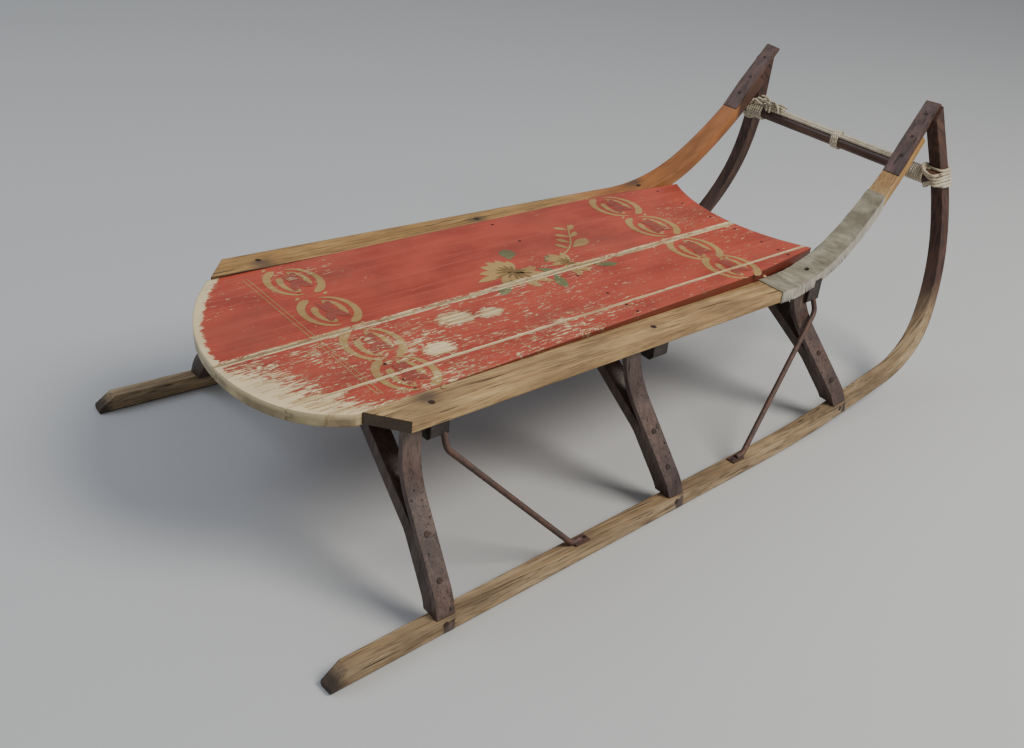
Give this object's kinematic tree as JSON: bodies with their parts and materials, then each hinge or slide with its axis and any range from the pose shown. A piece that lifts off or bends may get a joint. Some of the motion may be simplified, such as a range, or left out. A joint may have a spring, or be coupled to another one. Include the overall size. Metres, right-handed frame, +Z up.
{
  "type": "bow-runner child's sled",
  "caption": "Wooden child's sled with bentwood bow runners, flared legs, a plank deck between bent rails, iron braces and a stick lashed across the bows.",
  "frame": {"origin": "on the floor under the middle of the sled, at the centre of its outer box", "axes": "+X towards the bows, +Y to the rider's left, +Z up"},
  "size_m": [1.2171, 0.6616, 0.4517],
  "materials": {
    "weathered_ash": "matte",
    "rail_ash": "satin",
    "dark_oak": "satin",
    "painted_board": "satin",
    "rusted_iron": "matte",
    "old_steel": "satin",
    "cotton_cord": "matte",
    "cotton_cloth": "matte",
    "cloth_tape": "matte"
  },
  "bodies": {
    "root": {"arch_front": "dark_oak", "arch_middle": "dark_oak", "arch_rear": "dark_oak", "bench_front": "dark_oak", "bench_middle": "dark_oak", "bench_rear": "dark_oak", "bow_splice_left": "dark_oak", "bow_splice_right": "dark_oak", "brace_front_left": "rusted_iron", "brace_front_right": "rusted_iron", "brace_nails_left": "old_steel", "brace_nails_right": "old_steel", "brace_rear_left": "rusted_iron", "brace_rear_right": "rusted_iron", "deck_board_left": "painted_board", "deck_board_middle": "painted_board", "deck_board_right": "painted_board", "deck_nails": "old_steel", "lashing_left": "cotton_cord", "lashing_right": "cotton_cord", "leg_rivets_left": "old_steel", "leg_rivets_right": "old_steel", "rail_left": "rail_ash", "rail_right": "rail_ash", "rail_screws_left": "old_steel", "rail_screws_right": "old_steel", "runner_left": "weathered_ash", "runner_right": "weathered_ash", "runner_shoe_left": "rusted_iron", "runner_shoe_right": "rusted_iron", "splice_nails_left": "old_steel", "splice_nails_right": "old_steel", "spreader_stick": "dark_oak", "stick_binding": "cotton_cord", "stick_cord": "cotton_cord", "stick_wrap_left": "cotton_cloth", "stick_wrap_right": "cotton_cloth", "strut_front_left": "dark_oak", "strut_front_right": "dark_oak", "strut_middle_left": "dark_oak", "strut_middle_right": "dark_oak", "strut_rear_left": "dark_oak", "strut_rear_right": "dark_oak", "tape_wrap_lower": "cloth_tape", "tape_wrap_upper": "cloth_tape"}
  },
  "joints": []
}
